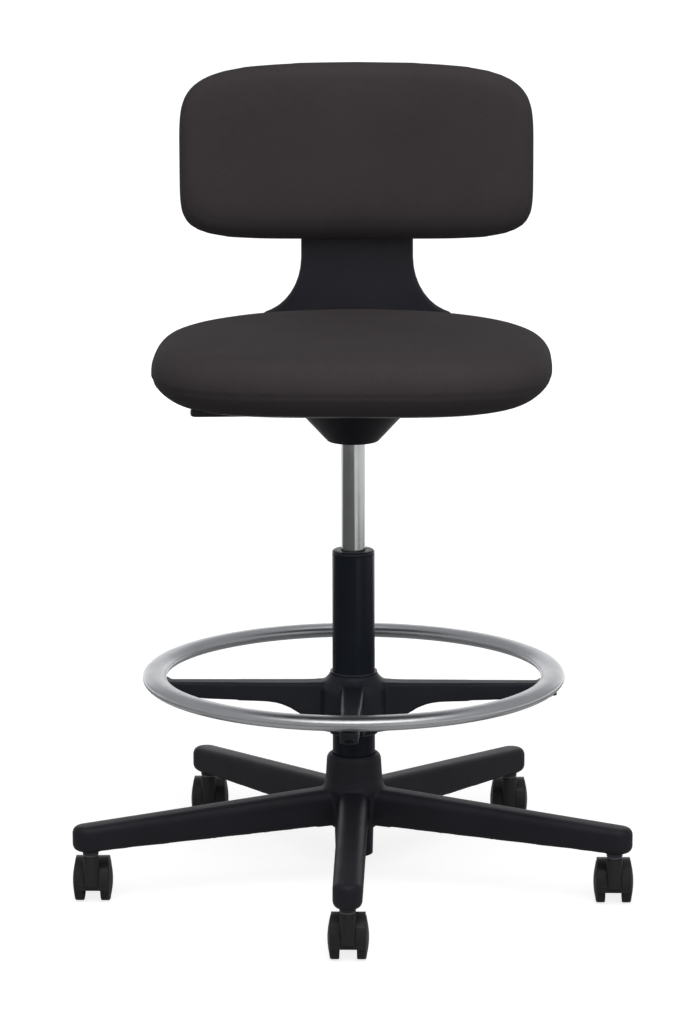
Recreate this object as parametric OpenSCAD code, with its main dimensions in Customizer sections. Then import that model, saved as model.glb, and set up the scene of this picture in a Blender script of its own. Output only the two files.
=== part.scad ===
// Drafting chair: five-legged swivel base on twin-wheel casters, gas lift, sliding foot ring,
// upholstered seat on a moulded pan, and a small upholstered backrest on a flared spine.
// Millimetres, +Z up. The chair faces -Y. The origin is on the floor, on the column's axis.

/* [Heights] */
// Underside of the seat pan above the floor, with the gas lift part way up
seat_under_z = 587; // [575:1:600]
// Thickness of the seat cushion and pan together
seat_thickness = 72; // [64:1:80]
// Middle of the foot ring's tube above the floor
ring_z = 254; // [250:1:300]
// Top of the outer column tube above the floor
column_top_z = 400; // [390:1:410]

/* [Base] */
// Distance from the column's axis to each caster's stem
caster_circle_r = 320; // [300:1:330]
// Diameter of the hub at the height of the legs
base_hub_d = 67; // [64:1:76]
// Top of the hub above the floor
base_hub_top_z = 160; // [155:1:165]
// Width of a leg at its tip
leg_tip_w = 33.5; // [30:0.5:36]
// Height of a leg at its tip
leg_tip_h = 30; // [27:1:32]
// Width of a leg where it meets the hub
leg_root_w = 35; // [33:1:42]
// Height of a leg where it meets the hub
leg_root_h = 46; // [40:1:48]

/* [Casters] */
// Diameter of each wheel
wheel_d = 50; // [48:1:52]
// Width of each wheel's tread
tread_w = 10.5; // [9:0.5:11]
// Distance between the two treads of one caster
tread_gap = 20; // [20:0.5:22]
// Distance from the stem's axis back to the axle
caster_trail = 24; // [22:1:26]
// Diameter of the stem in its socket
stem_d = 11; // [10:0.5:11]

/* [Gas lift] */
// Outer diameter of the column tube
column_d = 50; // [50:1:50]
// Outer diameter of the sliding pressure tube
pressure_d = 28; // [28:1:28]
// Diameter of the piston rod
rod_d = 10; // [9:0.5:10]
// Length of the pressure tube
pressure_len = 367; // [355:1:375]

/* [Foot ring] */
// Radius of the ring, to the middle of its tube
ring_r = 234; // [210:0.5:240]
// Width of the oval tube
ring_tube_w = 28; // [24:1:30]
// Height of the oval tube
ring_tube_h = 17; // [14:1:18]
// Width of an arm at the ring
ring_arm_w = 21; // [18:1:24]

/* [Seat] */
// Width of the seat
seat_w = 462; // [440:1:480]
// Depth of the seat in front of the column's axis
seat_front = 218.5; // [205:0.5:222]
// Depth of the seat behind the column's axis
seat_rear = 226; // [215:1:228]

/* [Backrest] */
// Width of the backrest
back_w = 425; // [400:1:440]
// Height of the backrest
back_h = 214; // [200:1:220]
// Lower edge of the backrest above the seat pan's underside
back_rise = 155; // [150:1:165]
// Thickness of the backrest's cushion
back_pad_t = 40; // [34:1:44]
// Width of the spine between seat and backrest
spine_w = 136; // [120:1:145]

/* [Hidden] */
$fn = 64;
eps = 0.01;
fit = 0.03;          // gap of a pressed or glued joint
run = 0.05;          // radial gap of a running fit
clear = 0.3;         // gap between faces that slide past each other

black = [0.09, 0.09, 0.11];
charcoal = [0.20, 0.18, 0.19];
steel = [0.66, 0.67, 0.69];
zinc = [0.60, 0.60, 0.62];
grey_plastic = [0.17, 0.17, 0.18];
rubber = [0.10, 0.10, 0.10];

// ---- base
leg_count = 5;
leg_tip_z = 67;                                     // underside of a leg at its tip
leg_root_z = 74;                                    // underside of a leg at the hub
leg_root_x = 24;
leg_end_x = caster_circle_r + 21 - leg_tip_w / 2;   // middle of the leg's round end
hub_under_z = 70;
leg_slope = (leg_tip_z + leg_tip_h - leg_root_z - leg_root_h) / (leg_end_x - leg_root_x);
socket_r = 7.5;
socket_top_z = 91;
boss_under_z = 66;
boss_r = 12;                                         // round boss under the leg's tip, for the socket
socket_rim_r = 9.3;
leg_edge_r = 8;                                     // rounding along a leg's edges
hub_chamfer = 5.6;
pocket_w = 21;                                      // hollow under each leg
pocket_wall = 6;
pocket_from = 50;
pocket_pitch = 63;
pocket_count = 4;
rib_t = 3;

// ---- gas lift
taper = tan(1.4376);                                // standard column taper, radius per length
taper_top_z = 150;
column_bottom_z = 37;
column_wall = 2;
floor_plate_z = 41;
floor_plate_top = 46;
bush_len = 80;
bush_lip = 4;
washer_t = 2;
ball_r = 1.9;
ball_circle_r = 9;
ball_count = 10;
shoulder_z = floor_plate_top + 2 * washer_t + 4;    // the rod's shoulder, on the upper washer
rod_thin_r = 4;
piston_z = 366;
piston_h = 10;
pressure_wall = 2;
pressure_top_z = seat_under_z - 23;
pressure_bottom_z = pressure_top_z - pressure_len;
socket_z = seat_under_z - 50;                       // where the tube's top taper starts
valve_body_h = 18;
pin_r = 3.5;
pin_top_z = pressure_top_z + 6;

// ---- foot ring
liner_r = column_d / 2 + 1.5;
liner_rim_r = 28.4;
ring_wall = 1.8;
spider_top_z = ring_z + 3;
spider_under_z = ring_z - 67;
arm_top_z = ring_z - ring_tube_h / 2 + 0.4;
arm_end_h = 17;
arm_tip_x = ring_r + 5;
clamp_z = ring_z - 32;
arm_root_x = 20;
arm_root_hw = 14;                                   // half width of an arm at the hub
arm_lip = 3.5;                                      // rise of the arm's end, against the ring's underside
ring_screw_r = 3;
ring_head_r = 5;
spider_r = 41;                                      // the hub, its lower rim and its upper collar
spider_foot_r = 29;
spider_collar_r = 28;
hub_flat_top = ring_z - 14;

// ---- seat
seat_mid_z = seat_under_z + 41;                     // height at which the seat is widest
seat_top_z = seat_under_z + seat_thickness;
seat_under_inset = 72;                              // how far the underside tucks in
seat_over_inset = 33;
seat_front_power = 3.7;                             // squareness of the seat's front and rear outline
seat_rear_power = 2;
pan_rim_z = seat_under_z + 7;
pan_floor = 4.5;
housing_h = 54;
housing_z = seat_under_z - housing_h;
housing_slope = 0.876;
housing_r = 32;
housing_core_r = 24;                                // solid core around the taper, and the four hollows
housing_wall = 6;
hollow_angle = 36;
hollow_z = housing_z + 14;
tongue_t = 10;
tongue_w = 150;
tongue_front_y = 15;
housing_screw_at = [[46, 0], [0, -46], [14, 44], [-14, 44]];
tongue_screw_at = [[50, 66], [-50, 66], [50, 122], [-50, 122]];
housing_screw_len = 20;
screw_r = 4;                                        // seat screws, countersunk in the pan's floor
screw_head_r = 8;
sink_z = 1.5;

// ---- lever
pivot_x = -30;
pivot_z = seat_under_z - 14;
lever_z = seat_under_z - 20;
lever_pin_r = 3;
lever_rod_r = 2.5;
lever_boss_r = 8.5;
lever_boss_w = 17;
paddle_end_x = -189;
paddle_root_x = -92;
paddle_t = 9;
paddle_w = 26;

// ---- spine and backrest
spine_y = 230;                                      // front face of the spine
spine_t = 12;
spine_top_z = seat_under_z + 293;
bend_r = 43;                                        // inner radius of the spine's bend
bend_y = spine_y - bend_r;
bend_z = seat_under_z + 2 + bend_r;
flare_w = 248;
ear_r = 8;                                          // rounding at each end of the flare
ear_from = 14;                                      // where the rounding leaves the flare's curve
back_z = seat_under_z + back_rise;                  // lower edge of the backrest
back_rest_y = spine_y - 12;                         // front face of the backrest's shell
back_below = 0.42 * back_h;                         // height of the backrest below its widest level
back_low_power = 5.6;                               // squareness of its lower and upper outline
back_top_power = 5.4;
back_arch = 11;                                     // extra rise of the upper outline's middle
outline_count = 72;
shell_t = 6;
pocket_hw = spine_w / 2 + 12;
slide_wall = 5;                                     // wall of the shell's pocket
slide_front_y = spine_y - 4;
glide_h = 90;
back_screw_r = 2.5;
pocket_y = spine_y + spine_t + 8;
back_up = 40;                                       // travel of the backrest
back_down = 20;
back_screw_x = 150;
back_screw_up = [60, 150];                          // heights above the backrest's lower edge

// ---- casters
wheel_r = wheel_d / 2;
hood_in_r = wheel_r + 1;
hood_out_r = wheel_r + 3;
hood_hw = tread_gap / 2 + tread_w - 1.2;
web_hw = tread_gap / 2 - 1.5;
neck_r = tread_gap / 2 - 0.6;
neck_top_z = 60;
axle_r = 3;
dome = 2.8;                                         // bulge of a wheel's outer face
stem_under_z = 34;
flange_r = 8.6;                                     // the stem's flange, between neck and socket
rim_t = 4;                                          // thickness of a wheel's rim
web_y = 5;                                          // how far the wheel's web lies inside the tread
hub_face_y = 19.8;                                  // outer end of a wheel's bore

function leg_angle(i) = -90 + 72 * (i - 1);
function column_r(z) = column_d / 2 - max(0, taper_top_z - z) * taper;
function arc(cx, cy, r, a0, a1, n) =
    [for (k = [0:n]) [cx + r * cos(a0 + (a1 - a0) * k / n), cy + r * sin(a0 + (a1 - a0) * k / n)]];
// one quadrant-wise superellipse: half width a, half depths b_neg and b_pos, exponents n_neg and n_pos
function signed_power(v, p) = sign(v) * pow(abs(v), p);
function super_outline(a, b_neg, b_pos, n_neg, n_pos, count) =
    [for (k = [0:count - 1]) let (t = 360 * k / count, n = sin(t) < 0 ? n_neg : n_pos,
        b = sin(t) < 0 ? b_neg : b_pos)
        [a * signed_power(cos(t), 2 / n), b * signed_power(sin(t), 2 / n)]];
function seat_outline(inset) =
    super_outline(seat_w / 2 - inset, seat_front - inset, seat_rear - inset,
        seat_front_power, seat_rear_power, outline_count);
function seat_under_inset_at(z) =
    seat_under_inset * (1 - sqrt(1 - pow((seat_mid_z - z) / (seat_mid_z - seat_under_z), 2)));
function back_outline(inset) =
    [for (p = super_outline(back_w / 2 - inset, back_below - inset, back_h - back_below - back_arch - inset,
        back_low_power, back_top_power, outline_count))
        [p[0], p[1] + (p[1] > 0 ? back_arch * (1 - pow(p[0] / (back_w / 2 - inset), 2)) : 0)]];
function arm_under(x) =
    let (line = arm_top_z - arm_end_h - 0.044 * (arm_tip_x - x))
    line - (x < 100 ? 33 * pow((100 - x) / 59, 2) : 0);
function housing_r_at(z) = housing_r + (z - housing_z) * housing_slope;

module at_leg(i) { rotate([0, 0, leg_angle(i)]) children(); }
module tube(r_out, r_in, z0, z1) {
    translate([0, 0, z0]) difference() {
        cylinder(r = r_out, h = z1 - z0);
        translate([0, 0, -1]) cylinder(r = r_in, h = z1 - z0 + 2);
    }
}
module rounded_rect(w, h, r) { offset(r = r) square([w - 2 * r, h - 2 * r], center = true); }
// closed skin through rings of equal count, each [height, outline], from the lowest to the highest
module loft(rings) {
    n = len(rings[0][1]);
    last = (len(rings) - 1) * n;
    polyhedron(
        points = [for (ring = rings) for (p = ring[1]) [p[0], p[1], ring[0]]],
        faces = concat(
            [[for (k = [0:n - 1]) k]],
            [for (j = [0:len(rings) - 2]) for (k = [0:n - 1])
                each [[j * n + k, (j + 1) * n + k, j * n + (k + 1) % n],
                      [j * n + (k + 1) % n, (j + 1) * n + k, (j + 1) * n + (k + 1) % n]]],
            [[for (k = [n - 1:-1:0]) last + k]]
        )
    );
}

// ---------------------------------------------------------------- base
module leg_body() {
    hull($fn = 32) {
        translate([leg_root_x, 0, leg_root_z + leg_root_h / 2]) rotate([90, 0, 90])
            linear_extrude(1) rounded_rect(leg_root_w, leg_root_h, 1.5 * leg_edge_r);
        translate([leg_end_x, 0, leg_tip_z]) rotate_extrude() intersection() {
            translate([0, leg_tip_h / 2]) rounded_rect(leg_tip_w, leg_tip_h, leg_edge_r);
            square([leg_tip_w, leg_tip_h]);
        }
    }
}

module leg_pockets() {
    for (k = [0:pocket_count - 1]) {
        x0 = pocket_from + k * pocket_pitch;
        x1 = x0 + pocket_pitch - rib_t;
        top = leg_root_z + leg_root_h - pocket_wall;
        translate([0, pocket_w / 2, 0]) rotate([90, 0, 0]) linear_extrude(pocket_w) polygon([
            [x0, hub_under_z - 10], [x1, hub_under_z - 10],
            [x1, top + leg_slope * (x1 - leg_root_x)], [x0, top + leg_slope * (x0 - leg_root_x)]
        ]);
    }
}

module base_star() {
    hub_r = base_hub_d / 2;
    color(black) difference() {
        union() {
            rotate_extrude() polygon([
                [0, hub_under_z], [hub_r - 8, hub_under_z], [hub_r - 2, hub_under_z + 6],
                [hub_r + 3, leg_root_z + leg_root_h - 2],
                [hub_r, leg_root_z + leg_root_h + 10], [hub_r - 1.6, base_hub_top_z - 4],
                [hub_r - hub_chamfer, base_hub_top_z], [0, base_hub_top_z]
            ]);
            for (i = [1:leg_count]) at_leg(i) leg_body();
            for (i = [1:leg_count]) at_leg(i) translate([caster_circle_r, 0, boss_under_z])
                cylinder(r = boss_r, h = 14);
        }
        for (i = [1:leg_count]) at_leg(i) leg_pockets();
        for (i = [1:leg_count]) at_leg(i) translate([caster_circle_r, 0, boss_under_z - 1])
            cylinder(r = socket_r + fit, h = socket_top_z - boss_under_z + 1.1);
        rotate_extrude() polygon([
            [0, hub_under_z - 1], [column_r(hub_under_z - 1) + fit, hub_under_z - 1],
            [column_d / 2 + fit, taper_top_z], [column_d / 2 + fit, base_hub_top_z + 1],
            [0, base_hub_top_z + 1]
        ]);
    }
}

module caster_sockets() {
    color(zinc) for (i = [1:leg_count]) at_leg(i) translate([caster_circle_r, 0, 0]) {
        difference() {
            union() {
                translate([0, 0, neck_top_z + 2 + clear])
                    cylinder(r = socket_rim_r, h = boss_under_z - neck_top_z - 2 - clear);
                translate([0, 0, boss_under_z - 1])
                    cylinder(r = socket_r, h = socket_top_z - boss_under_z + 1);
            }
            translate([0, 0, neck_top_z])
                cylinder(r = stem_d / 2 + run, h = socket_top_z - neck_top_z + 1);
        }
    }
}

// ---------------------------------------------------------------- gas lift
module column_tube() {
    inner_top = column_d / 2 - column_wall;
    color(black) difference() {
        rotate_extrude() polygon([
            [0, column_bottom_z], [column_r(column_bottom_z), column_bottom_z],
            [column_d / 2, taper_top_z], [column_d / 2, column_top_z - 0.8],
            [column_d / 2 - 0.8, column_top_z], [0, column_top_z]
        ]);
        rotate_extrude() polygon([
            [0, floor_plate_top], [column_r(floor_plate_top) - column_wall, floor_plate_top],
            [inner_top, taper_top_z], [inner_top, column_top_z + 1], [0, column_top_z + 1]
        ]);
        translate([0, 0, column_bottom_z - 1])
            cylinder(r = column_r(column_bottom_z) - column_wall, h = floor_plate_z - column_bottom_z + 1);
        translate([0, 0, column_bottom_z]) cylinder(r = rod_thin_r + clear, h = 20);
    }
}

module column_guide_bush() {
    color(rubber) rotate_extrude() polygon([
        [pressure_d / 2 + run, column_top_z - bush_len],
        [column_d / 2 - column_wall - fit, column_top_z - bush_len],
        [column_d / 2 - column_wall - fit, column_top_z],
        [column_d / 2 - 0.2, column_top_z],
        [column_d / 2 - 0.2, column_top_z + bush_lip - 1.6],
        [column_d / 2 - 1.8, column_top_z + bush_lip],
        [pressure_d / 2 + 1.5, column_top_z + bush_lip],
        [pressure_d / 2 + run, column_top_z + bush_lip - 1.5]
    ]);
}

module lower_bearing_washer() {
    color(steel) tube(12, rod_thin_r + 1, floor_plate_top, floor_plate_top + washer_t);
}

module bearing_ball_cage() {
    middle = floor_plate_top + washer_t + 2;
    color(steel) {
        tube(11.5, 6.5, middle - 1, middle + 1);
        for (k = [0:ball_count - 1]) rotate([0, 0, k * 360 / ball_count])
            translate([ball_circle_r, 0, middle]) sphere(r = ball_r, $fn = 32);
    }
}

module upper_bearing_washer() {
    color(steel) tube(12, rod_thin_r + fit, shoulder_z - washer_t, shoulder_z);
}

module stop_buffer() {
    color(rubber) rotate_extrude() polygon([
        [rod_d / 2 + fit, shoulder_z], [15, shoulder_z], [17, shoulder_z + 2],
        [17, shoulder_z + 8], [14, shoulder_z + 11], [rod_d / 2 + fit, shoulder_z + 11]
    ]);
}

module piston_rod() {
    color(steel) difference() {
        union() {
            translate([0, 0, column_bottom_z + 0.5])
                cylinder(r = rod_thin_r, h = shoulder_z - column_bottom_z);
            translate([0, 0, shoulder_z]) cylinder(r = rod_d / 2, h = piston_z - shoulder_z);
            translate([0, 0, piston_z - 1]) cylinder(r = rod_thin_r, h = piston_h + 2.5);
        }
        tube(6, rod_thin_r - 0.8, floor_plate_z - 2.6, floor_plate_z - 0.2);
    }
}

module rod_clip() {
    color(steel) translate([0, 0, floor_plate_z - 2.5]) difference() {
        cylinder(r = 8, h = 2.2);
        translate([0, 0, -1]) cylinder(r = rod_thin_r - 0.7, h = 5);
        translate([0, -2.5, -1]) cube([12, 5, 5]);
    }
}

module piston() {
    r = pressure_d / 2 - pressure_wall - run;
    color(zinc) difference() {
        translate([0, 0, piston_z]) cylinder(r = r, h = piston_h);
        translate([0, 0, piston_z - 1]) cylinder(r = rod_thin_r + fit, h = piston_h + 2);
        tube(r + 2, r - 1.2, piston_z + 4, piston_z + 6);
    }
}

module pressure_tube() {
    r = pressure_d / 2;
    color(steel) difference() {
        rotate_extrude() polygon([
            [0, pressure_bottom_z], [r - 0.6, pressure_bottom_z], [r, pressure_bottom_z + 0.6],
            [r, socket_z], [r - (pressure_top_z - socket_z) * taper, pressure_top_z], [0, pressure_top_z]
        ]);
        translate([0, 0, pressure_bottom_z - 1])
            cylinder(r = r - pressure_wall, h = pressure_len + 2);
    }
}

module rod_guide() {
    color(zinc) tube(pressure_d / 2 - pressure_wall - fit, rod_d / 2 + run,
        pressure_bottom_z + 1, pressure_bottom_z + 23);
}

module tube_valve_body() {
    color(zinc) tube(pressure_d / 2 - pressure_wall - fit, pin_r + run,
        pressure_top_z - valve_body_h, pressure_top_z - 0.5);
}

module valve_pin() {
    color(steel) {
        translate([0, 0, pressure_top_z - valve_body_h + 4])
            cylinder(r = pin_r, h = pin_top_z - pressure_top_z + valve_body_h - 4.5);
        translate([0, 0, pin_top_z - 0.5]) cylinder(r1 = pin_r, r2 = pin_r - 0.5, h = 0.5);
    }
}

// ---------------------------------------------------------------- foot ring
module ring_section(grow) {
    translate([ring_r, ring_z]) scale([ring_tube_w / 2 + grow, ring_tube_h / 2 + grow]) circle(r = 1);
}

module foot_ring() {
    color(steel) difference() {
        rotate_extrude($fn = 128) difference() {
            ring_section(0);
            ring_section(-ring_wall);
        }
        for (k = [0:3]) rotate([0, 0, 90 * k])
            translate([ring_r, 0, ring_z - ring_tube_h / 2 - 1]) cylinder(r = ring_screw_r, h = 8);
    }
}

module ring_arm() {
    xs = [for (k = [0:14]) arm_root_x + 11 * k];
    intersection() {
        translate([0, 20, 0]) rotate([90, 0, 0]) linear_extrude(40) polygon(concat(
            [[arm_root_x, arm_top_z + 1.4], [3 * arm_root_x, arm_top_z], [ring_r - 18, arm_top_z],
             [ring_r - 14, arm_top_z + arm_lip], [arm_tip_x, arm_top_z + arm_lip], [arm_tip_x, arm_top_z - 12],
             [arm_tip_x - 6, arm_top_z - arm_end_h]],
            [for (k = [len(xs) - 1:-1:0]) [xs[k], max(arm_under(xs[k]), spider_under_z)]]
        ));
        linear_extrude(ring_z + 40) polygon([
            [arm_root_x, -arm_root_hw], [3 * arm_root_x, 1 - arm_root_hw], [arm_tip_x - 6, -ring_arm_w / 2],
            [arm_tip_x, -ring_arm_w / 2 + 5], [arm_tip_x, ring_arm_w / 2 - 5],
            [arm_tip_x - 6, ring_arm_w / 2], [3 * arm_root_x, arm_root_hw - 1], [arm_root_x, arm_root_hw]
        ]);
    }
}

module ring_spider() {
    bore = liner_r + run;
    color(black) difference() {
        union() {
            rotate_extrude() polygon([
                [0, spider_under_z], [spider_foot_r, spider_under_z], [spider_foot_r, spider_under_z + 4],
                [spider_r, spider_under_z + 20], [spider_r, hub_flat_top], [spider_r - 5, hub_flat_top + 7],
                [spider_collar_r + 2, spider_top_z - 4], [spider_collar_r, spider_top_z], [0, spider_top_z]
            ]);
            for (k = [0:3]) rotate([0, 0, 90 * k]) ring_arm();
        }
        translate([0, 0, spider_under_z - 1]) cylinder(r = bore, h = 90);
        rotate_extrude($fn = 128) ring_section(0.1);
        for (k = [0:3]) rotate([0, 0, 90 * k]) translate([ring_r, 0, arm_top_z - 40]) {
            cylinder(r = ring_screw_r + fit, h = 60);
            cylinder(r = ring_head_r + 1, h = 40 - arm_end_h + 5);
        }
        for (k = [0, 1]) rotate([0, 0, 45 + 90 * k]) translate([0, 0, clamp_z]) rotate([0, 90, 0])
            cylinder(r = ring_screw_r + fit, h = 60);
    }
}

module ring_screws() {
    head_z = arm_top_z - arm_end_h + 1;
    color(zinc) for (k = [0:3]) rotate([0, 0, 90 * k])
        translate([ring_r, 0, head_z]) difference() {
            union() {
                cylinder(r = ring_head_r, h = 4);
                translate([0, 0, 3]) cylinder(r = ring_screw_r - fit, h = ring_z - head_z - 6);
            }
            translate([0, 0, -1]) cylinder(r = 2, h = 3.5, $fn = 6);
        }
}

module ring_clamp_screws() {
    color(zinc) for (k = [0, 1]) rotate([0, 0, 45 + 90 * k]) translate([0, 0, clamp_z]) rotate([0, 90, 0])
        difference() {
            translate([0, 0, liner_r + 0.4]) cylinder(r = ring_screw_r, h = 12);
            translate([0, 0, liner_r + 9]) cylinder(r = 1.6, h = 10, $fn = 6);
        }
}

module ring_liner() {
    color(rubber) rotate([0, 0, 92]) rotate_extrude(angle = 356) polygon([
        [column_d / 2 + run, spider_under_z - 2.5], [liner_rim_r, spider_under_z - 2.5],
        [liner_rim_r, spider_under_z - clear], [liner_r, spider_under_z - clear],
        [liner_r, spider_top_z + clear], [liner_rim_r - 0.8, spider_top_z + clear],
        [liner_rim_r - 0.8, spider_top_z + 2], [column_d / 2 + run, spider_top_z + 2]
    ]);
}

// ---------------------------------------------------------------- seat
module mechanism_housing() {
    top_r = housing_r_at(seat_under_z);
    color(black) difference() {
        rotate_extrude() polygon(concat(
            [[0, housing_z]],
            arc(housing_r - 5, housing_z + 5, 5, -90, -41, 5),
            [[top_r, seat_under_z], [0, seat_under_z]]
        ));
        rotate_extrude() polygon([
            [0, housing_z - 1], [pressure_d / 2 + fit, housing_z - 1], [pressure_d / 2 + fit, socket_z],
            [pressure_d / 2 + fit - (pressure_top_z - socket_z) * taper, pressure_top_z],
            [15, pressure_top_z], [15, seat_under_z + 1], [0, seat_under_z + 1]
        ]);
        translate([-top_r - 5, -lever_boss_w / 2 - 0.5, lever_z - 6]) cube([top_r + 5, lever_boss_w + 1, 40]);
        translate([-100, tongue_front_y, seat_under_z - tongue_t]) cube([200, 100, 20]);
        for (a = [45:90:315]) rotate([0, 0, a - hollow_angle / 2]) rotate_extrude(angle = hollow_angle) polygon([
            [housing_core_r, hollow_z], [housing_r_at(hollow_z) - housing_wall, hollow_z],
            [top_r - housing_wall, seat_under_z + 1], [housing_core_r, seat_under_z + 1]
        ]);
        translate([pivot_x, 30, pivot_z]) rotate([90, 0, 0]) cylinder(r = lever_pin_r + fit, h = 60);
        for (p = housing_screw_at) translate([p[0], p[1], seat_under_z - housing_screw_len - 2])
            cylinder(r = screw_r + fit, h = 60);
    }
}

module lever_pin() {
    color(steel) translate([pivot_x, 13.5, pivot_z]) rotate([90, 0, 0]) cylinder(r = lever_pin_r, h = 27);
}

module height_lever() {
    color(steel) difference() {
        union() {
            translate([pivot_x, lever_boss_w / 2, pivot_z]) rotate([90, 0, 0])
                cylinder(r = lever_boss_r, h = lever_boss_w);
            translate([pivot_x, -6, pin_top_z + 1]) cube([-pivot_x, 12, 6.5]);
            translate([0, 6, pin_top_z + clear + 4]) rotate([90, 0, 0]) cylinder(r = 4, h = 12);
            translate([pivot_x, 0, lever_z]) rotate([0, -90, 0]) cylinder(r = lever_rod_r, h = 125);
        }
        translate([pivot_x, 20, pivot_z]) rotate([90, 0, 0]) cylinder(r = lever_pin_r + run, h = 40);
    }
}

module lever_paddle() {
    color(black) difference() {
        hull($fn = 24) {
            for (s = [-1, 1]) translate([paddle_end_x + 8, s * (paddle_w / 2 - 8), lever_z])
                rotate_extrude() intersection() {
                    rounded_rect(16, paddle_t, 3);
                    translate([0, -10]) square([20, 20]);
                }
            translate([paddle_root_x, 0, lever_z]) rotate([0, -90, 0]) linear_extrude(1)
                rounded_rect(paddle_t, 15, 3);
        }
        translate([paddle_root_x + 5, 0, lever_z]) rotate([0, -90, 0]) cylinder(r = lever_rod_r + fit, h = 69);
    }
}

module seat_pan() {
    rim_inset = seat_under_inset_at(pan_rim_z);
    color(black) difference() {
        loft([for (h = [0, 1, 2.5, 4.5, pan_rim_z - seat_under_z])
            [seat_under_z + h, seat_outline(seat_under_inset_at(seat_under_z + h))]]);
        loft([
            [seat_under_z + pan_floor, seat_outline(rim_inset + 12)],
            [pan_rim_z + 1, seat_outline(rim_inset + 4)]
        ]);
        for (p = concat(housing_screw_at, tongue_screw_at)) translate([p[0], p[1], seat_under_z - 1])
            cylinder(r = screw_r + fit, h = 20);
        for (p = concat(housing_screw_at, tongue_screw_at)) translate([p[0], p[1], seat_under_z + sink_z])
            cylinder(r1 = screw_r + fit, r2 = screw_head_r + fit, h = pan_floor - sink_z + eps);
    }
}

module seat_screws() {
    groups = [[housing_screw_at, housing_screw_len], [tongue_screw_at, tongue_t - 1]];
    fall = (screw_head_r - screw_r) / (pan_floor - sink_z);
    color(zinc) for (q = groups) for (p = q[0])
        translate([p[0], p[1], 0]) difference() {
            union() {
                translate([0, 0, seat_under_z - q[1]]) cylinder(r = screw_r, h = q[1] + sink_z + 1);
                translate([0, 0, seat_under_z + sink_z])
                    cylinder(r1 = screw_r, r2 = screw_head_r - fall * clear, h = pan_floor - sink_z - clear);
            }
            translate([0, 0, seat_under_z + sink_z]) cylinder(r = 2.5, h = 10, $fn = 6);
        }
}

module seat_cushion() {
    rim_inset = seat_under_inset_at(pan_rim_z);
    rise = seat_top_z - seat_mid_z;
    color(charcoal) loft(concat(
        [[seat_under_z + pan_floor + clear, seat_outline(rim_inset + 14)],
         [pan_rim_z + clear, seat_outline(rim_inset + 6)]],
        [for (h = [clear + eps, 5, 11, 18, 26])
            [pan_rim_z + h, seat_outline(seat_under_inset_at(pan_rim_z + h))]],
        [for (a = [0:15:90])
            [seat_mid_z + rise * sin(a), seat_outline(seat_over_inset * (1 - cos(a)))]]
    ));
}

// ---------------------------------------------------------------- spine and backrest
module spine_side() {
    polygon(concat(
        [[tongue_front_y + clear, seat_under_z], [tongue_front_y + clear, seat_under_z - tongue_t]],
        arc(bend_y, bend_z, bend_r + spine_t, -90, 0, 16),
        [[spine_y + spine_t, spine_top_z], [spine_y, spine_top_z]],
        arc(bend_y, bend_z, bend_r, 0, -90, 16),
        [[bend_y - 20, seat_under_z]]
    ));
}

module spine_front() {
    neck_z = seat_under_z + 131;
    flare_z = seat_under_z + 62;
    hw = spine_w / 2;
    fw = flare_w / 2;
    rise = neck_z - flare_z;
    lean = atan(rise / (fw - hw) * tan(ear_from));
    ear_x = fw - (fw - hw) * sin(ear_from) - ear_r * sin(lean);
    ear_z = neck_z - rise * cos(ear_from) - ear_r * cos(lean);
    right = concat(
        [[ear_x + ear_r, seat_under_z - 20]],
        arc(ear_x, ear_z, ear_r, 0, 90 - lean, 5),
        [for (a = [20:10:90]) [fw - (fw - hw) * sin(a), neck_z - rise * cos(a)]],
        [[hw, spine_top_z - 8], [hw - 8, spine_top_z]]
    );
    polygon(concat(right, [for (k = [len(right) - 1:-1:0]) [-right[k][0], right[k][1]]]));
}

module spine_plan() {
    fw = flare_w / 2 + 2;
    tw = tongue_w / 2;
    wide_y = spine_y - 8;
    right = concat(
        [[tw, 0], [tw, bend_y - 70]],
        [for (a = [0:15:90]) [fw - (fw - tw) * cos(a), bend_y - 70 + (wide_y - bend_y + 70) * sin(a)]],
        [[fw, spine_y + 40]]
    );
    polygon(concat(right, [for (k = [len(right) - 1:-1:0]) [-right[k][0], right[k][1]]]));
}

module back_support() {
    color(black) difference() {
        intersection() {
            translate([-flare_w, 0, 0]) rotate([90, 0, 90]) linear_extrude(2 * flare_w) spine_side();
            translate([0, 300, 0]) rotate([90, 0, 0]) linear_extrude(300) spine_front();
            translate([0, 0, seat_under_z - 30]) linear_extrude(400) spine_plan();
        }
        for (p = concat(tongue_screw_at, [housing_screw_at[2], housing_screw_at[3]]))
            translate([p[0], p[1], seat_under_z - 30]) cylinder(r = screw_r + fit, h = 60);
    }
}

module back_placed() {
    translate([0, back_rest_y, back_z + back_below]) rotate([90, 0, 0]) children();
}

module back_shell() {
    pocket_top = spine_top_z + back_down + 4;
    color(black) difference() {
        union() {
            back_placed() translate([0, 0, -shell_t]) linear_extrude(shell_t) polygon(back_outline(9));
            translate([-pocket_hw, back_rest_y + shell_t - 1, back_z + 12])
                cube([2 * pocket_hw, pocket_y - back_rest_y - shell_t + 1, pocket_top + slide_wall - back_z - 12]);
        }
        translate([slide_wall - pocket_hw, slide_front_y, back_z])
            cube([2 * (pocket_hw - slide_wall), spine_t + 7, pocket_top - back_z]);
        for (s = [-1, 1], z = back_screw_up) translate([s * back_screw_x, back_rest_y + 20, back_z + z])
            rotate([90, 0, 0]) cylinder(r = back_screw_r + fit, h = 40);
    }
}

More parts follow.
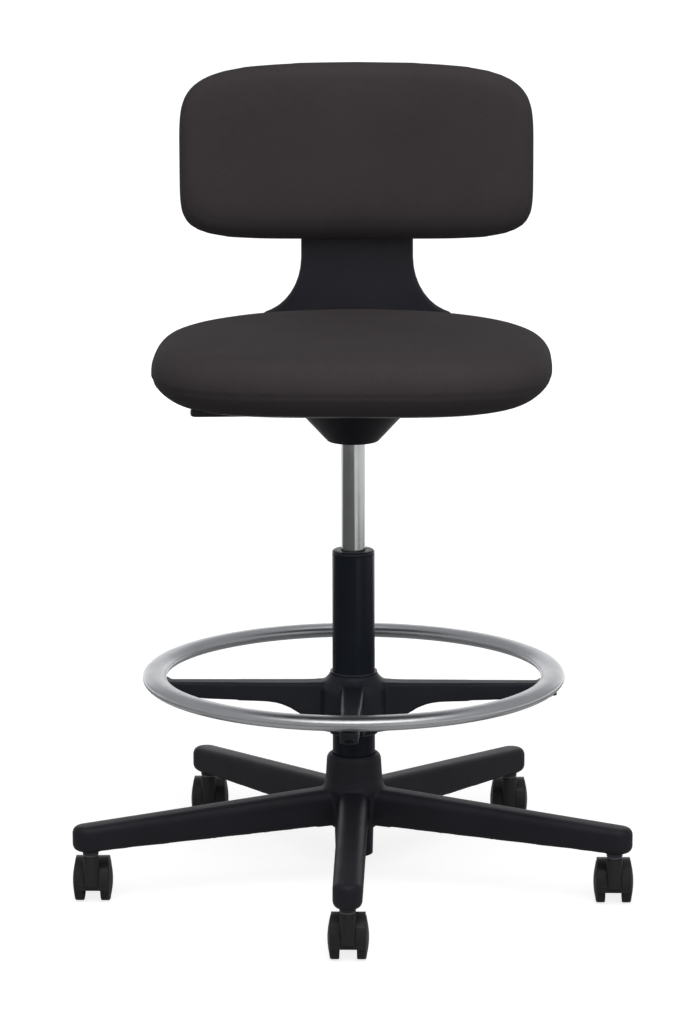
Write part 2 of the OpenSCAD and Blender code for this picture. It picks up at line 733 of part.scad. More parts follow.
module back_glides() {
    color(rubber) for (s = [-1, 1]) difference() {
        translate([s > 0 ? spine_w / 2 - 14 : slide_wall + fit - pocket_hw, slide_front_y + fit, back_z + 30])
            cube([pocket_hw - slide_wall - fit - spine_w / 2 + 14, spine_t + 7 - 2 * fit, glide_h]);
        translate([-spine_w / 2 - clear, spine_y - clear, back_z])
            cube([spine_w + 2 * clear, spine_t + 2 * clear, 200]);
    }
}

module back_screws() {
    color(zinc) for (s = [-1, 1], z = back_screw_up)
        translate([s * back_screw_x, back_rest_y + shell_t, back_z + z]) rotate([90, 0, 0]) difference() {
            union() {
                cylinder(r = back_screw_r, h = shell_t - 0.2);
                translate([0, 0, -2.4]) cylinder(r = 5, h = 2.4);
            }
            translate([0, 0, -3]) cylinder(r = 1.6, h = 2.4, $fn = 6);
        }
}

module back_cushion() {
    edge_f = 15;
    edge_r = 9;
    color(charcoal) back_placed() loft(concat(
        [for (a = [90:-18:0]) [clear + edge_r * (1 - sin(a)), back_outline(edge_r * (1 - cos(a)))]],
        [for (a = [0:18:90])
            [clear + back_pad_t - edge_f * (1 - sin(a)), back_outline(edge_f * (1 - cos(a)))]]
    ));
}

// ---------------------------------------------------------------- casters
module at_caster(i) {
    a = leg_angle(i);
    translate([caster_circle_r * cos(a), caster_circle_r * sin(a), 0]) children();
}
// places children whose Z axis is the axle, seen from the wheel's outer side at +X or -X
module on_axle(side) {
    translate([0, caster_trail, wheel_r]) rotate([0, 90 * side, 0]) children();
}

module caster_hood(i) {
    front = 194;                                    // where the shroud starts and ends, from straight back
    back = 22;
    color(grey_plastic) at_caster(i) difference() {
        union() {
            translate([-hood_hw, caster_trail, wheel_r]) rotate([90, 0, 90]) rotate([0, 0, back])
                rotate_extrude(angle = front - back) translate([hood_in_r, 0])
                    square([hood_out_r - hood_in_r, 2 * hood_hw]);
            translate([-web_hw, caster_trail, wheel_r]) rotate([90, 0, 90]) intersection() {
                cylinder(r = hood_in_r + 1, h = 2 * web_hw);
                linear_extrude(2 * web_hw) polygon([
                    [-hood_out_r - 4, -4], [-18, -9], [9, -9], [14, 2], [hood_out_r + 2, 11],
                    [hood_out_r, hood_out_r], [-hood_out_r - 4, hood_out_r]
                ]);
            }
            translate([0, 0, wheel_r - 1]) cylinder(r = neck_r, h = neck_top_z - wheel_r + 1);
        }
        translate([0, 0, stem_under_z]) cylinder(r = stem_d / 2 + fit, h = 40);
        translate([-20, caster_trail, wheel_r]) rotate([0, 90, 0]) cylinder(r = axle_r + fit, h = 40);
    }
}

module caster_stem(i) {
    r = stem_d / 2;
    color(steel) at_caster(i) rotate_extrude() polygon([
        [0, stem_under_z + 0.2], [r, stem_under_z + 0.2], [r, neck_top_z], [flange_r, neck_top_z],
        [flange_r, neck_top_z + 2],
        [r, neck_top_z + 2],
        [r, 77], [r - 0.8, 77.6], [r - 0.8, 79.4], [r, 80], [r, 87], [r - 1.5, 89], [0, 89]
    ]);
}

module caster_axle(i) {
    color(steel) at_caster(i) translate([-19.5, caster_trail, wheel_r]) rotate([0, 90, 0])
        cylinder(r = axle_r, h = 39);
}

// half of a wheel's section: x is the radius, y the distance from the caster's middle
module wheel_section() {
    y0 = tread_gap / 2;
    y1 = y0 + tread_w;
    bore = axle_r + run + 0.03;
    polygon(concat(
        [[bore, y0 - 1], [8, y0 - 1], [9.5, y0 + web_y], [wheel_r - rim_t, y0 + web_y], [wheel_r - rim_t, y0]],
        arc(wheel_r - 1, y0 + 1, 1, -90, 0, 3),
        arc(wheel_r - 2.2, y1 - 2.2, 2.2, 0, 70, 4),
        [for (k = [6:-1:1]) let (q = (wheel_r - 3.4) * k / 7) [q, y1 + dome * (1 - pow(k / 7, 2))]],
        [[0, y1 + dome], [0, hub_face_y], [bore, hub_face_y]]
    ));
}

module wheel(i, side) {
    color(grey_plastic) at_caster(i) on_axle(side) rotate_extrude($fn = 96) wheel_section();
}

base_star();
caster_sockets();
column_tube();
column_guide_bush();
lower_bearing_washer();
piston_rod();
piston();
bearing_ball_cage();
upper_bearing_washer();
stop_buffer();
rod_clip();
ring_liner();
foot_ring();
ring_spider();
ring_screws();
ring_clamp_screws();
pressure_tube();
rod_guide();
tube_valve_body();
valve_pin();
mechanism_housing();
height_lever();
lever_paddle();
lever_pin();
seat_pan();
seat_cushion();
seat_screws();
back_support();
back_shell();
back_cushion();
back_glides();
back_screws();
for (i = [1:leg_count]) {
    caster_hood(i);
    caster_stem(i);
    caster_axle(i);
    wheel(i, -1);
    wheel(i, 1);
}
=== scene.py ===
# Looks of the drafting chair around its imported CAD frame. Metres, +Z up, the chair faces -Y.
import math

import bmesh
import bpy
import numpy as np
from mathutils import Matrix, Vector
from mathutils.bvhtree import BVHTree


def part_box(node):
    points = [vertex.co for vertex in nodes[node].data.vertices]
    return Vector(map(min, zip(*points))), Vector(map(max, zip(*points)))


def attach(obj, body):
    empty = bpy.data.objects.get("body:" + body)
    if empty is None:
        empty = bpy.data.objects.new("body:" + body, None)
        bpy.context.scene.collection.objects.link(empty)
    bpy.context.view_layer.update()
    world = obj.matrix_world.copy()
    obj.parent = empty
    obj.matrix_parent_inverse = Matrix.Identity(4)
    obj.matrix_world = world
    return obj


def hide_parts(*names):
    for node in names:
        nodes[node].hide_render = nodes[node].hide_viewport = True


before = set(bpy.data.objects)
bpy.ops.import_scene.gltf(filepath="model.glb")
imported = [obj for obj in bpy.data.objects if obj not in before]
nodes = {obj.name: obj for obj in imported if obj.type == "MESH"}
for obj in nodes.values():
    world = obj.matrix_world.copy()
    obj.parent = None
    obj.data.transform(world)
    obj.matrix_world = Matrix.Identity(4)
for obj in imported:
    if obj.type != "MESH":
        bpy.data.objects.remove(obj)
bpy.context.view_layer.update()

scene = bpy.context.scene
MM = 0.001
CASTERS = range(1, 6)


# ---------------------------------------------------------------- camera, light, floor
def make_camera():
    """A long lens in front of the chair, higher than its top and dipped a little."""
    place = (0.1036, -4.477, 1.3369)
    turn, dip, roll = 0.0249, 0.1958, -0.003
    data = bpy.data.cameras.new("camera")
    data.lens = 137.5
    data.sensor_width = 36
    data.clip_end = 200
    camera = bpy.data.objects.new("camera", data)
    aim = Matrix.Rotation(turn, 4, "Z") @ Matrix.Rotation(math.pi / 2 - dip, 4, "X")
    camera.matrix_world = Matrix.Translation(place) @ aim @ Matrix.Rotation(roll, 4, "Z")
    scene.collection.objects.link(camera)
    scene.camera = camera


def softbox(name, place, target, size, power):
    """A rectangular area light that faces the target. The camera doesn't see it."""
    data = bpy.data.lights.new(name, "AREA")
    data.shape = "RECTANGLE"
    data.size, data.size_y = size
    data.energy = power
    light = bpy.data.objects.new(name, data)
    back = Vector(place) - Vector(target)
    light.matrix_world = Matrix.Translation(place) @ back.to_track_quat("Z", "Y").to_matrix().to_4x4()
    light.visible_camera = False
    scene.collection.objects.link(light)


def make_lights():
    """A wide, soft sun from the front and four softboxes, for the reflections that the sun doesn't make."""
    world = bpy.data.worlds.new("studio")
    world.use_nodes = True
    background = world.node_tree.nodes["Background"]
    background.inputs["Color"].default_value = (0.94, 0.96, 1, 1)
    background.inputs["Strength"].default_value = 0.34
    scene.world = world
    data = bpy.data.lights.new("key", "SUN")
    data.energy = 2.9
    data.angle = math.radians(70)
    key = bpy.data.objects.new("key", data)
    key.matrix_world = Vector((0.1, -1.0, 0.9)).to_track_quat("Z", "Y").to_matrix().to_4x4()
    key.visible_glossy = False
    scene.collection.objects.link(key)
    softbox("overhead", (0.2, -0.8, 3.4), (0, -0.6, 0.4), (3.0, 3.0), 20)
    softbox("near_top", (0.1, -0.75, 1.75), (0.02, 0.1, 0.75), (1.3, 0.6), 2.5)
    softbox("front_right", (2.2, -2.8, 2.3), (0, 0, 0.6), (0.9, 2.2), 2)
    softbox("backdrop", (0, 4.5, 1.0), (0, 0, 0.9), (6.0, 2.0), 24)
    scene.view_settings.view_transform = "Standard"


def studio_object(mesh, grey, rough=1.0, specular=0.0, glow=0.0):
    """A piece of the studio in one even grey, which may glow white a little."""
    piece = bpy.data.objects.new(mesh.name, mesh)
    scene.collection.objects.link(piece)
    mat, _, shader = new_material(mesh.name)
    shader.inputs["Base Color"].default_value = (grey, grey, grey, 1)
    shader.inputs["Roughness"].default_value = rough
    shader.inputs["Specular IOR Level"].default_value = specular
    shader.inputs["Emission Color"].default_value = (1, 1, 1, 1)
    shader.inputs["Emission Strength"].default_value = glow
    mesh.materials.append(mat)
    return piece


def rectangle(name, x_from, x_to, y_from, y_to, z=0.0):
    mesh = bpy.data.meshes.new(name)
    corners = [(x_from, y_from, z), (x_to, y_from, z), (x_to, y_to, z), (x_from, y_to, z)]
    mesh.from_pydata(corners, [], [(0, 1, 2, 3)])
    return mesh


def make_floor():
    """A lit table: it glows a little itself, so that shadows on it stay pale. Dark cloths on it, unseen by
    the camera, cut the light that bounces up."""
    half = 40.0
    studio_object(rectangle("floor", -half, half, -half, half), grey=0.42, rough=0.9, specular=0.1, glow=0.72)
    near, far, chair = -4.4, 1.2, 0.6
    under_seat = -0.56
    dark, mid = 0.15, 0.32
    cloths = {
        "cloth_left": (dark, (-4.5, -chair, near, far)),
        "cloth_front": (dark, (-chair, chair, near, under_seat)),
        "cloth_right": (dark, (chair, 1.9, -1.4, far)),
        "cloth_under": (mid, (-chair, chair, under_seat, far)),
    }
    for name, (grey, reach) in cloths.items():
        cloth = studio_object(rectangle(name, *reach, z=2 * MM), grey)
        cloth.visible_camera = cloth.visible_shadow = False


def make_backdrop():
    """A white dome far behind everything, seen by the camera alone, so that low views end in white too."""
    mesh = bpy.data.meshes.new("backdrop_dome")
    bm = bmesh.new()
    bmesh.ops.create_uvsphere(bm, u_segments=64, v_segments=32, radius=38.0)
    bm.to_mesh(mesh)
    bm.free()
    dome = studio_object(mesh, grey=0.0, glow=1.1)
    dome.visible_diffuse = dome.visible_glossy = dome.visible_transmission = dome.visible_shadow = False


# ---------------------------------------------------------------- materials
def new_material(name):
    mat = bpy.data.materials.new(name)
    mat.use_nodes = True
    return mat, mat.node_tree, mat.node_tree.nodes["Principled BSDF"]


def add(tree, kind, **properties):
    """A new node, with its named properties set."""
    node = tree.nodes.new(kind)
    for key, value in properties.items():
        setattr(node, key, value)
    return node


def noise(tree, source, scale, detail=3.0, roughness=0.55):
    node = add(tree, "ShaderNodeTexNoise")
    node.inputs["Scale"].default_value = scale
    node.inputs["Detail"].default_value = detail
    node.inputs["Roughness"].default_value = roughness
    tree.links.new(source, node.inputs["Vector"])
    return node.outputs["Fac"]


def math_node(tree, operation, a, b=None):
    node = add(tree, "ShaderNodeMath", operation=operation)
    for socket, value in zip(node.inputs, (a, b)):
        if value is None:
            continue
        if isinstance(value, (int, float)):
            socket.default_value = value
        else:
            tree.links.new(value, socket)
    return node.outputs[0]


def ramp(tree, fac, stops):
    """A colour ramp: stops are (position, grey or colour)."""
    node = add(tree, "ShaderNodeValToRGB")
    elements = node.color_ramp.elements
    while len(elements) < len(stops):
        elements.new(0.5)
    for element, (position, colour) in zip(elements, stops):
        element.position = position
        element.color = (*colour, 1) if hasattr(colour, "__len__") else (colour, colour, colour, 1)
    tree.links.new(fac, node.inputs["Fac"])
    return node.outputs["Color"]


def bump(tree, shader, height, strength, distance=0.4 * MM):
    node = add(tree, "ShaderNodeBump")
    node.inputs["Strength"].default_value = strength
    node.inputs["Distance"].default_value = distance
    tree.links.new(height, node.inputs["Height"])
    tree.links.new(node.outputs["Normal"], shader.inputs["Normal"])


def uneven_gloss(tree, shader, pattern, low, high):
    """Roughness that wanders from low to high as the pattern goes from 0 to 1."""
    node = add(tree, "ShaderNodeMapRange")
    node.inputs["To Min"].default_value = low
    node.inputs["To Max"].default_value = high
    tree.links.new(pattern, node.inputs["Value"])
    tree.links.new(node.outputs["Result"], shader.inputs["Roughness"])


def shades(colour, darker, lighter=None):
    """A darker and a lighter shade of a colour, by these shares of it."""
    lighter = darker if lighter is None else lighter
    return tuple(c * (1 - darker) for c in colour), tuple(c * (1 + lighter) for c in colour)


def object_point(tree):
    return add(tree, "ShaderNodeTexCoord").outputs["Object"]


def moulded_plastic(name, colour, rough=0.42, grain=0.25, grain_size=1400):
    """Moulded plastic: fine spark-eroded grain, slightly uneven gloss, edges rubbed a little lighter."""
    mat, tree, shader = new_material(name)
    point = object_point(tree)
    dark, light = shades(colour, 0.14)
    base = ramp(tree, noise(tree, point, 14, 4), [(0.3, dark), (0.7, light)])
    pointiness = add(tree, "ShaderNodeNewGeometry").outputs["Pointiness"]
    worn = ramp(tree, pointiness, [(0.52, 0.0), (0.60, 1.0)])
    rubbed = tuple(min(1, c * 1.6 + 0.004) for c in colour)
    mix = add(tree, "ShaderNodeMix", data_type="RGBA", blend_type="MIX")
    factor, first, second = mix.inputs[0], mix.inputs[6], mix.inputs[7]
    tree.links.new(worn, factor)
    tree.links.new(base, first)
    second.default_value = (*rubbed, 1)
    tree.links.new(mix.outputs[2], shader.inputs["Base Color"])
    uneven_gloss(tree, shader, noise(tree, point, 38, 5, 0.6), rough - 0.06, rough + 0.08)
    bump(tree, shader, noise(tree, point, grain_size, 2), grain)
    shader.inputs["Specular IOR Level"].default_value = 0.25
    return mat


def plated_metal(name, colour, rough=0.12, brushed=0.0):
    """Chrome or plated steel, with a little haze and faint hairlines across its height."""
    mat, tree, shader = new_material(name)
    point = object_point(tree)
    shader.inputs["Metallic"].default_value = 1.0
    hazed = tuple(c * 0.94 for c in colour)
    haze = noise(tree, point, 24, 4)
    tree.links.new(ramp(tree, haze, [(0.35, hazed), (0.65, colour)]), shader.inputs["Base Color"])
    uneven_gloss(tree, shader, noise(tree, point, 60, 6, 0.65), rough * 0.7, rough * 1.4)
    stretch = add(tree, "ShaderNodeMapping")
    stretch.inputs["Scale"].default_value = (1, 1, 60 if brushed else 40)
    tree.links.new(point, stretch.inputs["Vector"])
    hairlines = noise(tree, stretch.outputs["Vector"], 45, 5, 0.7)
    bump(tree, shader, hairlines, 0.02 + brushed, 0.3 * MM)
    return mat


def satin_paint(name, colour, rough, grain, specular):
    """Powder coat: fine orange peel."""
    mat, tree, shader = new_material(name)
    point = object_point(tree)
    dark, light = shades(colour, 0.12)
    tone = noise(tree, point, 9, 3)
    tree.links.new(ramp(tree, tone, [(0.35, dark), (0.65, light)]), shader.inputs["Base Color"])
    uneven_gloss(tree, shader, noise(tree, point, 50, 4), rough - 0.05, rough + 0.05)
    bump(tree, shader, noise(tree, point, 700, 2), grain)
    shader.inputs["Specular IOR Level"].default_value = specular
    return mat


def weave_height(tree, point, a, b, pitch):
    """Plain weave in the plane of axes a and b: warp and weft that rise over each other in turn."""
    split = add(tree, "ShaderNodeSeparateXYZ")
    tree.links.new(point, split.inputs[0])
    phases = [math_node(tree, "MULTIPLY", split.outputs[k], math.pi / pitch) for k in (a, b)]
    warp, weft = (math_node(tree, "SINE", phase) for phase in phases)
    over = math_node(tree, "MULTIPLY", warp, weft)
    ribs = math_node(tree, "ADD", math_node(tree, "ABSOLUTE", warp), math_node(tree, "ABSOLUTE", weft))
    crossings, yarns = math_node(tree, "MULTIPLY", over, 0.35), math_node(tree, "MULTIPLY", ribs, 0.5)
    return math_node(tree, "ADD", crossings, yarns)


def woven_fabric(name, colour, pitch=1.1 * MM):
    """Plain woven wool blend: the weave is laid on whichever axis plane the surface faces most."""
    mat, tree, shader = new_material(name)
    coords = add(tree, "ShaderNodeTexCoord")
    straight = coords.outputs["Object"]
    wobble = add(tree, "ShaderNodeTexNoise")
    wobble.inputs["Scale"].default_value = 90
    tree.links.new(straight, wobble.inputs["Vector"])
    shift = add(tree, "ShaderNodeVectorMath", operation="MULTIPLY_ADD")
    tree.links.new(wobble.outputs["Color"], shift.inputs[0])
    shift.inputs[1].default_value = (pitch * 0.5,) * 3
    tree.links.new(straight, shift.inputs[2])
    point = shift.outputs[0]
    facing = add(tree, "ShaderNodeSeparateXYZ")
    tree.links.new(coords.outputs["Normal"], facing.inputs[0])
    ax, ay, az = (math_node(tree, "ABSOLUTE", facing.outputs[k]) for k in "XYZ")
    is_top = math_node(tree, "GREATER_THAN", az, math_node(tree, "MAXIMUM", ax, ay))
    is_side = math_node(tree, "GREATER_THAN", ax, ay)
    top, front, side = (weave_height(tree, point, a, b, pitch) for a, b in ((0, 1), (0, 2), (1, 2)))

    def choose(factor, when_zero, when_one):
        node = add(tree, "ShaderNodeMix", data_type="FLOAT")
        tree.links.new(factor, node.inputs[0])
        tree.links.new(when_zero, node.inputs[2])
        tree.links.new(when_one, node.inputs[3])
        return node.outputs[0]

    weave = choose(is_top, choose(is_side, front, side), top)
    fuzz = noise(tree, straight, 2600, 2)
    height = math_node(tree, "ADD", weave, math_node(tree, "MULTIPLY", fuzz, 0.5))
    melange = noise(tree, straight, 900, 3, 0.7)
    broad = noise(tree, straight, 7, 3)
    tone = math_node(tree, "MULTIPLY", melange, 0.6)
    for part, share in ((broad, 0.25), (weave, 0.18)):
        tone = math_node(tree, "ADD", tone, math_node(tree, "MULTIPLY", part, share))
    dark, light = shades(colour, 0.28, 0.34)
    tree.links.new(ramp(tree, tone, [(0.35, dark), (0.75, light)]), shader.inputs["Base Color"])
    shader.inputs["Roughness"].default_value = 0.92
    shader.inputs["Specular IOR Level"].default_value = 0.08
    shader.inputs["Sheen Weight"].default_value = 0.01
    bump(tree, shader, height, 0.5)
    return mat


BASE = moulded_plastic("base_plastic", (0.0085, 0.0083, 0.0112), rough=0.45)
SPIDER = moulded_plastic("spider_plastic", (0.0085, 0.0090, 0.0122), rough=0.38)
PAN = moulded_plastic("pan_plastic", (0.0080, 0.0080, 0.0105), rough=0.45, grain=0.4, grain_size=900)
HOOD = moulded_plastic("hood_plastic", (0.0100, 0.0100, 0.0102), rough=0.35, grain=0.15)
WHEEL = moulded_plastic("wheel_plastic", (0.0110, 0.0110, 0.0112), rough=0.38, grain=0.15)
BUSH = moulded_plastic("bush_plastic", (0.0100, 0.0115, 0.0150), rough=0.3, grain=0.08)
LEVER = moulded_plastic("lever_plastic", (0.0160, 0.0160, 0.0180), rough=0.4)
RUBBER = moulded_plastic("buffer_rubber", (0.02, 0.02, 0.02), rough=0.75)
FRAME = satin_paint("frame_paint", (0.0065, 0.0065, 0.0085), rough=0.42, grain=0.3, specular=0.15)
SPINE = moulded_plastic("spine_plastic", (0.0140, 0.0135, 0.0175), rough=0.45, grain=0.35, grain_size=1000)
STEM = plated_metal("stem_steel", (0.16, 0.16, 0.165), rough=0.3)
BLACK_SCREW = plated_metal("black_screw", (0.04, 0.04, 0.042), rough=0.35)
COLUMN = satin_paint("column_paint", (0.0055, 0.0070, 0.0105), rough=0.2, grain=0.05, specular=0.14)
CHROME = plated_metal("ring_chrome", (0.70, 0.71, 0.72), rough=0.30)
LIFT = plated_metal("lift_chrome", (0.43, 0.435, 0.435), rough=0.16, brushed=0.04)
STEEL = plated_metal("bright_steel", (0.58, 0.58, 0.59), rough=0.25, brushed=0.05)
ZINC = plated_metal("zinc_steel", (0.42, 0.42, 0.43), rough=0.35, brushed=0.05)
FABRIC = woven_fabric("upholstery", (0.0318, 0.0273, 0.0282))


def paint(obj, mat):
    obj.data.materials.clear()
    obj.data.materials.append(mat)
    for polygon in obj.data.polygons:
        polygon.material_index = 0


def smooth_shaded(mesh):
    for polygon in mesh.polygons:
        polygon.use_smooth = True


# ---------------------------------------------------------------- hard pieces
def apply_modifiers(piece):
    bpy.context.view_layer.update()
    graph = bpy.context.evaluated_depsgraph_get()
    mesh = bpy.data.meshes.new_from_object(piece.evaluated_get(graph))
    piece.modifiers.clear()
    piece.data = mesh


def coordinates(mesh):
    flat = np.zeros(len(mesh.vertices) * 3)
    mesh.vertices.foreach_get("co", flat)
    return flat.reshape(-1, 3)


def vertex_normals(mesh):
    flat = np.zeros(len(mesh.vertices) * 3)
    mesh.vertices.foreach_get("normal", flat)
    return flat.reshape(-1, 3)


def move_points(mesh, points):
    mesh.vertices.foreach_set("co", points.ravel())
    mesh.update()


def voxel_remesh(piece, size):
    remesh = piece.modifiers.new("remesh", "REMESH")
    remesh.mode = "VOXEL"
    remesh.voxel_size = size


def smoothing(piece, rounds):
    smooth = piece.modifiers.new("smooth", "SMOOTH")
    smooth.iterations = rounds


def softened(node, mat, width, body):
    """Stands for a CAD node: the same shape with its sharp edges rounded and its curves shaded smooth."""
    sharp = math.radians(30)
    mesh = nodes[node].data.copy()
    mesh.name = node + "_skin"
    bm = bmesh.new()
    bm.from_mesh(mesh)
    bmesh.ops.remove_doubles(bm, verts=bm.verts, dist=2e-6)
    bmesh.ops.dissolve_limit(bm, angle_limit=math.radians(0.6), verts=bm.verts, edges=bm.edges)
    bm.to_mesh(mesh)
    bm.free()
    piece = bpy.data.objects.new(node + "_skin", mesh)
    scene.collection.objects.link(piece)
    bevel = piece.modifiers.new("edges", "BEVEL")
    bevel.width = width
    bevel.segments = 2
    bevel.limit_method = "ANGLE"
    bevel.angle_limit = sharp
    bevel.use_clamp_overlap = True
    bevel.miter_outer = "MITER_ARC"
    apply_modifiers(piece)
    smooth_shaded(piece.data)
    piece.data.set_sharp_from_angle(angle=sharp)
    paint(piece, mat)
    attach(piece, body)
    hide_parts(node)


def moulded(node, mat, voxel, rounds, body):
    """Stands for a CAD node that is a moulding: its creases turn into fillets, and everything else stays on
    the CAD surface. Smoothing makes the fillets, and points that it hardly moved go back to the surface."""
    source = nodes[node].data
    piece = bpy.data.objects.new(node + "_moulding", source.copy())
    scene.collection.objects.link(piece)
    voxel_remesh(piece, voxel)
    smoothing(piece, rounds)
    apply_modifiers(piece)
    source.calc_loop_triangles()
    corners = [tuple(t.vertices) for t in source.loop_triangles]
    surface = BVHTree.FromPolygons([v.co for v in source.vertices], corners)
    smoothed = coordinates(piece.data)
    nearest = [surface.find_nearest(Vector(p)) for p in smoothed]
    on_surface = np.array([hit[0] for hit in nearest])
    away = np.array([hit[3] for hit in nearest])[:, None]
    hardly, clearly = 0.08 * voxel, 0.28 * voxel
    share = np.clip((away - hardly) / (clearly - hardly), 0, 1)
    share = share * share * (3 - 2 * share)
    move_points(piece.data, on_surface * (1 - share) + smoothed * share)
    smoothing(piece, rounds=5)
    apply_modifiers(piece)
    smooth_shaded(piece.data)
    paint(piece, mat)
    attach(piece, body)
    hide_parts(node)


def hard_pieces():
    moulded("base_star", BASE, 1.4 * MM, 12, "base")
    softened("column_guide_bush", BUSH, 0.2 * MM, "base")
    moulded("ring_spider", SPIDER, 1.7 * MM, 10, "foot_ring")
    softened("mechanism_housing", FRAME, 0.8 * MM, "seat")
    softened("seat_pan", PAN, 0.8 * MM, "seat")
    moulded("back_support", SPINE, 1.8 * MM, 10, "seat")
    moulded("back_shell", PAN, 1.8 * MM, 10, "backrest")
    softened("lever_paddle", LEVER, 0.6 * MM, "lever")
    for i in CASTERS:
        softened(f"caster_hood_{i}", HOOD, 0.5 * MM, f"swivel_{i}")
        for side in ("left", "right"):
            softened(f"wheel_{side}_{i}", WHEEL, 0.3 * MM, f"{side}_wheel_{i}")
    plain = {
        "caster_sockets": BUSH, "column_tube": COLUMN, "lower_bearing_washer": STEEL, "piston_rod": STEEL,
        "piston": ZINC, "bearing_ball_cage": STEEL, "upper_bearing_washer": STEEL, "stop_buffer": RUBBER,
        "rod_clip": STEEL, "ring_liner": BUSH, "foot_ring": CHROME, "ring_screws": BLACK_SCREW,
        "ring_clamp_screws": ZINC, "pressure_tube": LIFT, "rod_guide": ZINC, "tube_valve_body": ZINC,
        "valve_pin": STEEL, "height_lever": STEEL, "lever_pin": STEEL, "seat_screws": ZINC,
        "back_glides": BUSH, "back_screws": ZINC,
    }
    for i in CASTERS:
        plain[f"caster_stem_{i}"] = STEM
        plain[f"caster_axle_{i}"] = STEEL
    for name, mat in plain.items():
        paint(nodes[name], mat)


# ---------------------------------------------------------------- cushions
PROUD = 0.5 * MM  # how far the covers stand out of the CAD cushions


def squircle(half_w, low, high, low_power, high_power, arch=0.0, count=160):
    """Outline of a cushion: half a superellipse below and half above, each of its own squareness. The upper
    half can rise in a low arch."""
    t = np.linspace(0, 2 * math.pi, count, endpoint=False)
    c, s = np.cos(t), np.sin(t)
    power = np.where(s < 0, low_power, high_power)
    x = half_w * np.sign(c) * np.abs(c) ** (2 / power)
    y = np.where(s < 0, low, high - arch) * np.sign(s) * np.abs(s) ** (2 / power)
    return np.stack([x, y + np.where(s > 0, arch * (1 - (x / half_w) ** 2), 0)], 1)


def ringed_mesh(name, rings):
    """Closed mesh through rings of the same number of points, capped by a fan at each end."""
    count = len(rings[0])
    points = np.concatenate(rings + [rings[0].mean(0)[None], rings[-1].mean(0)[None]])
    faces = []
    for j in range(len(rings) - 1):
        for k in range(count):
            a, b = j * count + k, j * count + (k + 1) % count
            faces.append((a, b, b + count, a + count))
    first, last, top = len(points) - 2, len(points) - 1, (len(rings) - 1) * count
    for k in range(count):
        faces.append((first, (k + 1) % count, k))
        faces.append((last, top + k, top + (k + 1) % count))
    mesh = bpy.data.meshes.new(name)
    mesh.from_pydata(points.tolist(), [], faces)
    mesh.update()
    piece = bpy.data.objects.new(name, mesh)
    scene.collection.objects.link(piece)
    return piece


def spread(mesh, values, rounds):
    """Evens out a value per point along the mesh's edges."""
    ends = np.zeros(len(mesh.edges) * 2, dtype=int)
    mesh.edges.foreach_get("vertices", ends)
    a, b = ends.reshape(-1, 2).T
    count = np.bincount(a, minlength=len(values)) + np.bincount(b, minlength=len(values))
    for _ in range(rounds):
        total = np.bincount(a, values[b], len(values)) + np.bincount(b, values[a], len(values))
        values = 0.5 * values + 0.5 * total / np.maximum(count, 1)
    return values


def run_cloth(piece, pressure, frames=20):
    """Lets Cloth blow the closed cover up, and keeps its last frame."""
    cloth = piece.modifiers.new("cloth", "CLOTH")
    settings = cloth.settings
    settings.quality = 6
    settings.mass = 0.3
    settings.use_pressure = True
    settings.uniform_pressure_force = pressure
    settings.tension_stiffness = settings.compression_stiffness = 20
    settings.bending_stiffness = 2
    settings.effector_weights.gravity = 0
    cloth.point_cache.frame_start, cloth.point_cache.frame_end = 1, frames
    for step in range(1, frames + 1):
        scene.frame_set(step)
    apply_modifiers(piece)
    scene.frame_set(1)


def stuffed(piece, voxel, pressure=5.0, swell=2 * MM, sink=1 * MM):
    """Remeshes the closed cover and lets Cloth stuff it. The foam's block holds the cover, so each point
    swells or sinks along its normal by no more than the foam allows."""
    voxel_remesh(piece, voxel)
    apply_modifiers(piece)
    rest = coordinates(piece.data)
    normals = vertex_normals(piece.data)
    run_cloth(piece, pressure)
    along = ((coordinates(piece.data) - rest) * normals).sum(1)
    along = spread(piece.data, np.clip(along, -sink, swell), rounds=40)
    move_points(piece.data, rest + normals * along[:, None])
    smoothing(piece, rounds=4)
    subdivide = piece.modifiers.new("subdivide", "SUBSURF")
    subdivide.levels = subdivide.render_levels = 1
    apply_modifiers(piece)
    smooth_shaded(piece.data)


def stitched(piece, distance, depth=0.6 * MM, width=1.8 * MM):
    """Draws a seam's valley into the cover where the signed distance to the seam's level is 0, with the
    cloth puckered up a little on both sides of it."""
    points = coordinates(piece.data)
    normals = vertex_normals(piece.data)
    away = np.abs(distance(points))
    valley = np.exp(-((away / width) ** 2))
    pucker = 0.35 * np.exp(-(((away - 2.6 * width) / width) ** 2))
    move_points(piece.data, points - normals * (depth * (valley - pucker))[:, None])


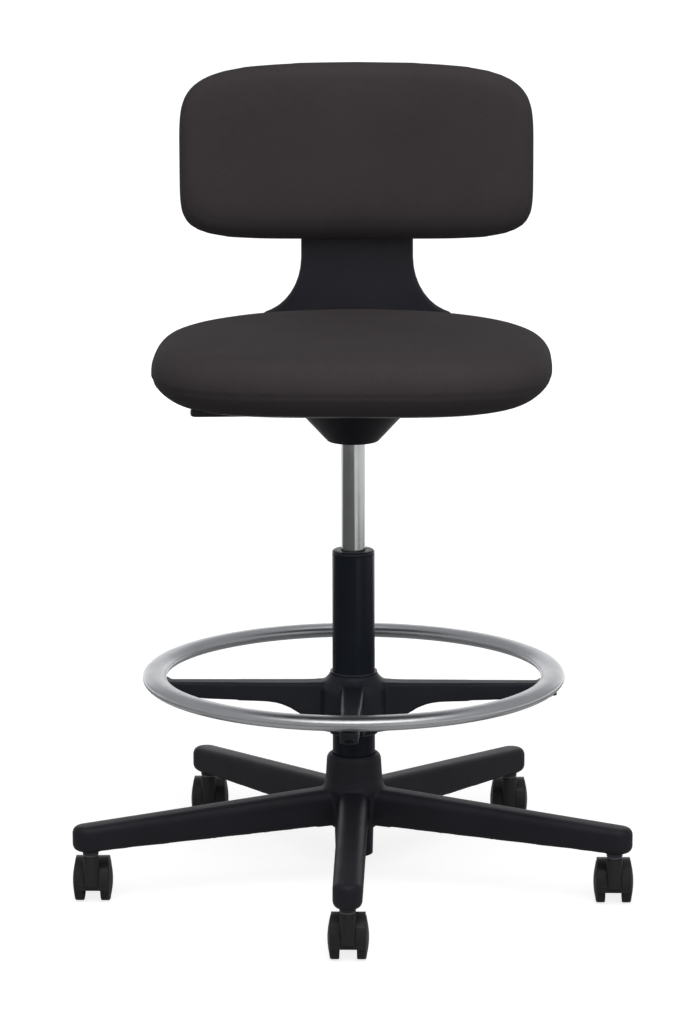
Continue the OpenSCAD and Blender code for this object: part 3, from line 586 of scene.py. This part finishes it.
def seat_cushion():
    """Foam seat: the cover wraps over the edge to a seam below the widest level, and tucks in at the pan."""
    low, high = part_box("seat_cushion")
    pan_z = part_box("seat_pan")[0].z
    half_w = (high.x - low.x) / 2 + PROUD
    front, rear = PROUD - low.y, high.y + PROUD
    front_power, rear_power = 3.7, 2.0
    rim_z, widest_z, top_z = pan_z + 7.5 * MM, pan_z + 41 * MM, high.z + PROUD
    seam_z = pan_z + 33 * MM
    rings = []

    def ring(inset, z):
        outline = squircle(half_w - inset, front - inset, rear - inset, front_power, rear_power)
        rings.append(np.column_stack([outline, np.full(len(outline), z)]))

    tuck, under_r, over_r = 52 * MM, 72 * MM, 33 * MM
    ring(tuck, rim_z - 2 * MM)
    for z in np.linspace(rim_z, widest_z, 9)[:-1]:
        ring(under_r * (1 - math.sqrt(1 - ((widest_z - z) / (widest_z - pan_z)) ** 2)), z)
    for a in np.linspace(0, math.pi / 2, 10):
        ring(over_r * (1 - math.cos(a)), widest_z + (top_z - widest_z) * math.sin(a))
    dish = ((60, 1.2), (90, 2.6), (130, 3.6), (170, 4.0), (190, 4.0))  # mm in from the edge, mm down
    for inset, sunk in dish:
        ring(inset * MM, top_z - sunk * MM)
    piece = ringed_mesh("seat_upholstery", rings)
    stuffed(piece, 6 * MM)
    stitched(piece, lambda p: p[:, 2] - seam_z)
    paint(piece, FABRIC)
    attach(piece, "seat")
    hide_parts("seat_cushion")


def back_cushion():
    """Foam backrest: its front is domed, more so towards its lower edge; the seam runs round its side."""
    low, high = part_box("back_cushion")
    half_w = (high.x - low.x) / 2 + PROUD
    height = high.z - low.z
    below, above = 0.42 * height, 0.58 * height
    mid_z = low.z + below
    low_power, high_power, arch = 5.6, 5.4, 11 * MM
    rear_r, front_r = 9 * MM, 16 * MM
    rear_y, front_y = high.y - 1 * MM, low.y - PROUD - 2 * MM
    seam_y = rear_y - 12 * MM
    dome, dome_r = 6 * MM, 85 * MM
    droop, droop_r, droop_power = 18 * MM, 62 * MM, 2.4
    rings = []

    def ring(inset, y):
        outline = squircle(
            half_w - inset, below + PROUD - inset, above + PROUD - inset, low_power, high_power, arch
        )
        down = np.clip(-outline[:, 1] / below, 0, 1)
        sag = dome * max(0.0, 1 - inset / dome_r) ** 2
        sag = sag + droop * down ** droop_power * max(0.0, 1 - inset / droop_r) ** 2
        sag *= np.clip((rear_y - y) / (rear_y - front_y), 0, 1)
        rings.append(np.column_stack([outline[:, 0], y + sag, outline[:, 1] + mid_z]))

    for a in np.linspace(0, math.pi / 2, 6):
        ring(rear_r * (1 - math.sin(a)), rear_y - rear_r * (1 - math.cos(a)))
    for a in np.linspace(0, math.pi / 2, 9):
        ring(front_r * (1 - math.cos(a)), front_y + front_r * (1 - math.sin(a)))
    for inset in (22, 30, 40, 50, 60, 70, 85):
        ring(inset * MM, front_y)
    piece = ringed_mesh("back_upholstery", rings)
    stuffed(piece, 5 * MM)
    stitched(piece, lambda p: p[:, 1] - seam_y)
    paint(piece, FABRIC)
    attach(piece, "backrest")
    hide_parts("back_cushion")


make_camera()
make_lights()
make_floor()
make_backdrop()
hard_pieces()
seat_cushion()
back_cushion()
